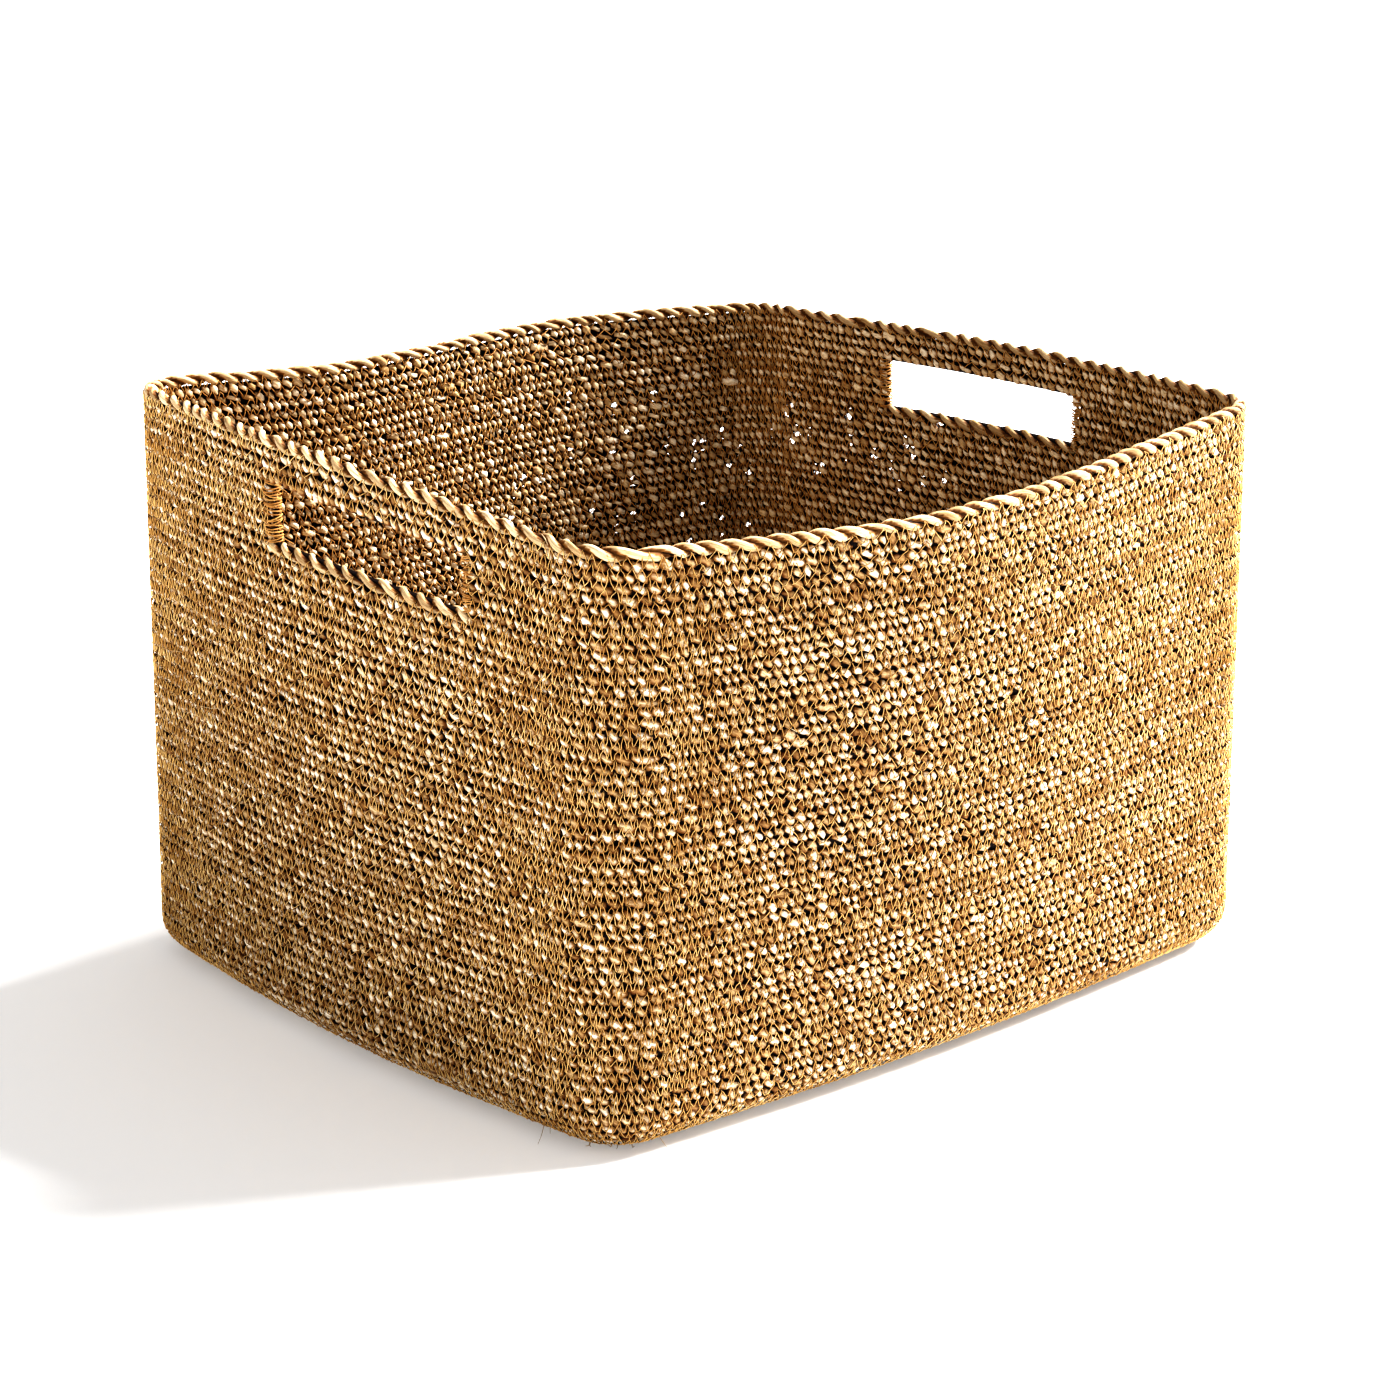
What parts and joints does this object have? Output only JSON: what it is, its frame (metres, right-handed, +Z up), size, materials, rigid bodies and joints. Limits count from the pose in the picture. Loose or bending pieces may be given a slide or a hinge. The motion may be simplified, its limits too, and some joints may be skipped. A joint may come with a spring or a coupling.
{
  "type": "seagrass storage basket",
  "caption": "Open rectangular storage basket of sewn seagrass rope with a hand slot in each short side and a softly bowed rim.",
  "frame": {"origin": "middle of the base, on the floor", "axes": "+X along the long sides, towards the right hand slot; +Y towards the back; +Z up through the open top"},
  "size_m": [0.4937, 0.4444, 0.3025],
  "materials": {
    "wall_rope": "matte dried seagrass rope, golden brown",
    "base_rope": "matte dried seagrass rope, golden brown",
    "rim_rope": "matte dried seagrass rope, pale tan",
    "needle_thread": "matte twisted sewing thread, golden orange",
    "bobbin_thread": "matte twisted sewing thread, golden orange",
    "binding_thread": "matte twisted sewing thread, golden orange"
  },
  "bodies": {
    "root": {"base_core": "base_rope", "base_turns_inner": "base_rope", "base_turns_middle": "base_rope", "base_turns_outer": "base_rope", "base_turns_border": "base_rope", "base_needle_thread": "needle_thread", "base_edge_courses": "wall_rope", "wall_band_01": "wall_rope", "wall_band_02": "wall_rope", "wall_band_03": "wall_rope", "wall_band_04": "wall_rope", "wall_band_05": "wall_rope", "wall_band_06": "wall_rope", "wall_band_07": "wall_rope", "wall_band_08": "wall_rope", "wall_band_09": "wall_rope", "wall_band_10": "wall_rope", "sill_courses": "wall_rope", "slot_courses_front": "wall_rope", "slot_courses_back": "wall_rope", "grip_courses": "wall_rope", "rim_rope": "rim_rope", "needle_thread_01_02": "needle_thread", "needle_thread_03_04": "needle_thread", "needle_thread_05_06": "needle_thread", "needle_thread_07_08": "needle_thread", "needle_thread_09_10": "needle_thread", "needle_thread_top": "needle_thread", "bobbin_thread_01_02": "bobbin_thread", "bobbin_thread_03_04": "bobbin_thread", "bobbin_thread_05_06": "bobbin_thread", "bobbin_thread_07_08": "bobbin_thread", "bobbin_thread_09_10": "bobbin_thread", "bobbin_thread_top": "bobbin_thread", "binding_left_front": "binding_thread", "binding_left_back": "binding_thread", "binding_right_front": "binding_thread", "binding_right_back": "binding_thread"}
  },
  "joints": []
}
